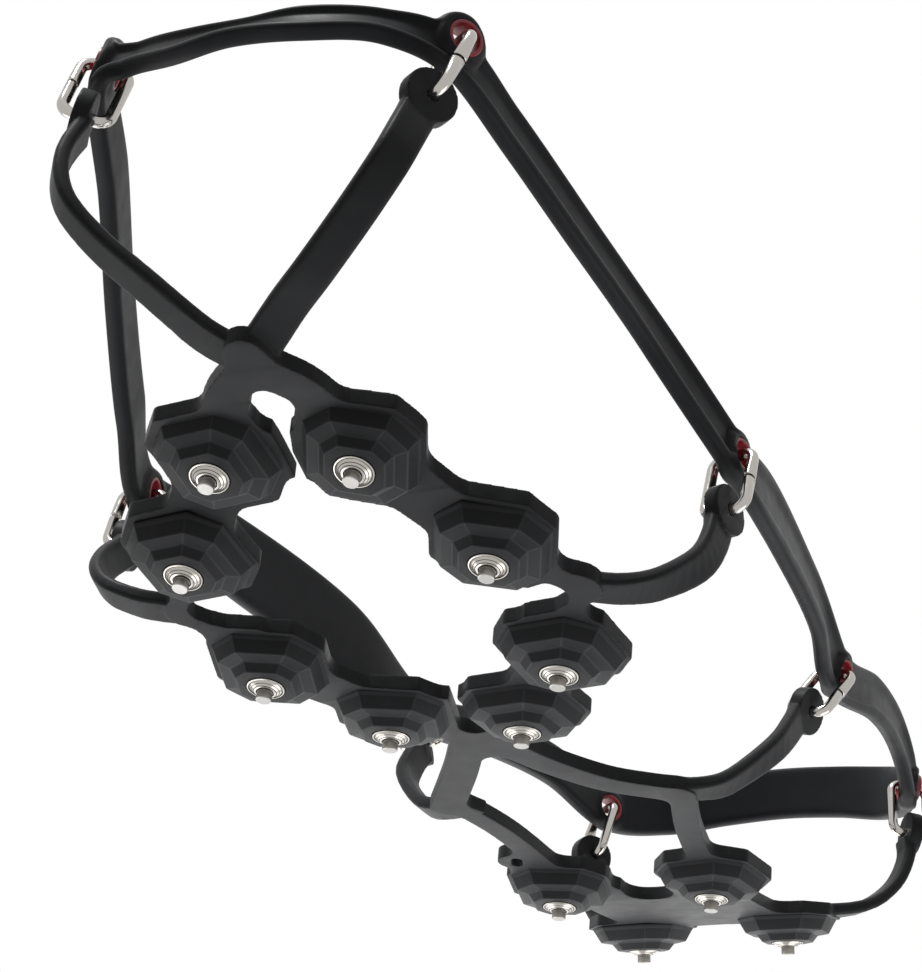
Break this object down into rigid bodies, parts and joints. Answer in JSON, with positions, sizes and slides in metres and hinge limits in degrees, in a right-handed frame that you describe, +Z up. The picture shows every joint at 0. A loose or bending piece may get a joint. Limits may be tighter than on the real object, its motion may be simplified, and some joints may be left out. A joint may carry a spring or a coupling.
{
  "type": "ice cleat",
  "caption": "Pull-on ice cleat: moulded sole web with stepped lugs and carbide-tipped studs, hung by wire rings from a stretch harness band",
  "frame": {"origin": "On the ground under the middle of the cleat's bounding box; the carbide tips of the arch and heel rows stand on z = 0", "axes": "-Y to the toe, +Y to the heel, +X to the right seen from above with the heel up the page, +Z up"},
  "size_m": [0.127, 0.3186, 0.0919],
  "materials": {
    "web_rubber": "black moulded elastomer, satin",
    "harness_rubber": "black stretch elastomer, satin",
    "stud_steel": "turned steel, bright",
    "tip_carbide": "sintered carbide with a bright ground end",
    "ring_steel": "polished steel wire",
    "liner_red": "red moulded plastic"
  },
  "bodies": {
    "cleat": {"sole_web": "web_rubber", "harness": "harness_rubber", "stud_toe_right": "stud_steel", "stud_toe_left": "stud_steel", "stud_ball_right": "stud_steel", "stud_ball_left": "stud_steel", "stud_tread_right": "stud_steel", "stud_tread_left": "stud_steel", "stud_arch_right": "stud_steel", "stud_arch_left": "stud_steel", "stud_heel_right": "stud_steel", "stud_heel_left": "stud_steel", "stud_back_right": "stud_steel", "stud_back_left": "stud_steel", "tip_toe_right": "tip_carbide", "tip_toe_left": "tip_carbide", "tip_ball_right": "tip_carbide", "tip_ball_left": "tip_carbide", "tip_tread_right": "tip_carbide", "tip_tread_left": "tip_carbide", "tip_arch_right": "tip_carbide", "tip_arch_left": "tip_carbide", "tip_heel_right": "tip_carbide", "tip_heel_left": "tip_carbide", "tip_back_right": "tip_carbide", "tip_back_left": "tip_carbide", "liner_toe_right": "liner_red", "liner_toe_left": "liner_red", "liner_fore_right": "liner_red", "liner_fore_left": "liner_red", "liner_mid_right": "liner_red", "liner_mid_left": "liner_red", "liner_heel_right": "liner_red", "liner_heel_left": "liner_red"},
    "ring_toe_right": {"ring_toe_right": "ring_steel"},
    "ring_toe_left": {"ring_toe_left": "ring_steel"},
    "ring_fore_right": {"ring_fore_right": "ring_steel"},
    "ring_fore_left": {"ring_fore_left": "ring_steel"},
    "ring_mid_right": {"ring_mid_right": "ring_steel"},
    "ring_mid_left": {"ring_mid_left": "ring_steel"},
    "ring_heel_right": {"ring_heel_right": "ring_steel"},
    "ring_heel_left": {"ring_heel_left": "ring_steel"}
  },
  "joints": [
    {"name": "ring_toe_right_swing", "type": "hinge", "parent": "cleat", "child": "ring_toe_right", "pos_m": [0.03775, -0.14441, 0.0683], "axis": [0.8409, -0.5409, -0.0178], "range_deg": [-5, 5]},
    {"name": "ring_toe_left_swing", "type": "hinge", "parent": "cleat", "child": "ring_toe_left", "pos_m": [-0.02535, -0.15001, 0.0731], "axis": [-0.8271, -0.5245, 0.2017], "range_deg": [-5, 5]},
    {"name": "ring_fore_right_swing", "type": "hinge", "parent": "cleat", "child": "ring_fore_right", "pos_m": [0.05815, -0.04931, 0.0359], "axis": [0.9776, -0.2007, 0.0634], "range_deg": [-5, 5]},
    {"name": "ring_fore_left_swing", "type": "hinge", "parent": "cleat", "child": "ring_fore_left", "pos_m": [-0.05815, -0.06581, 0.0348], "axis": [-0.9776, -0.2007, 0.0634], "range_deg": [-5, 5]},
    {"name": "ring_mid_right_swing", "type": "hinge", "parent": "cleat", "child": "ring_mid_right", "pos_m": [0.04585, 0.04109, 0.0344], "axis": [0.9538, -0.1762, -0.2431], "range_deg": [-5, 5]},
    {"name": "ring_mid_left_swing", "type": "hinge", "parent": "cleat", "child": "ring_mid_left", "pos_m": [-0.04275, 0.04109, 0.0344], "axis": [-0.9538, -0.1762, -0.2431], "range_deg": [-5, 5]},
    {"name": "ring_heel_right_swing", "type": "hinge", "parent": "cleat", "child": "ring_heel_right", "pos_m": [0.04415, 0.12919, 0.0392], "axis": [0.8069, 0.5871, -0.0649], "range_deg": [-5, 5]},
    {"name": "ring_heel_left_swing", "type": "hinge", "parent": "cleat", "child": "ring_heel_left", "pos_m": [-0.03645, 0.12919, 0.0392], "axis": [-0.8069, 0.5871, -0.0649], "range_deg": [-5, 5]}
  ]
}
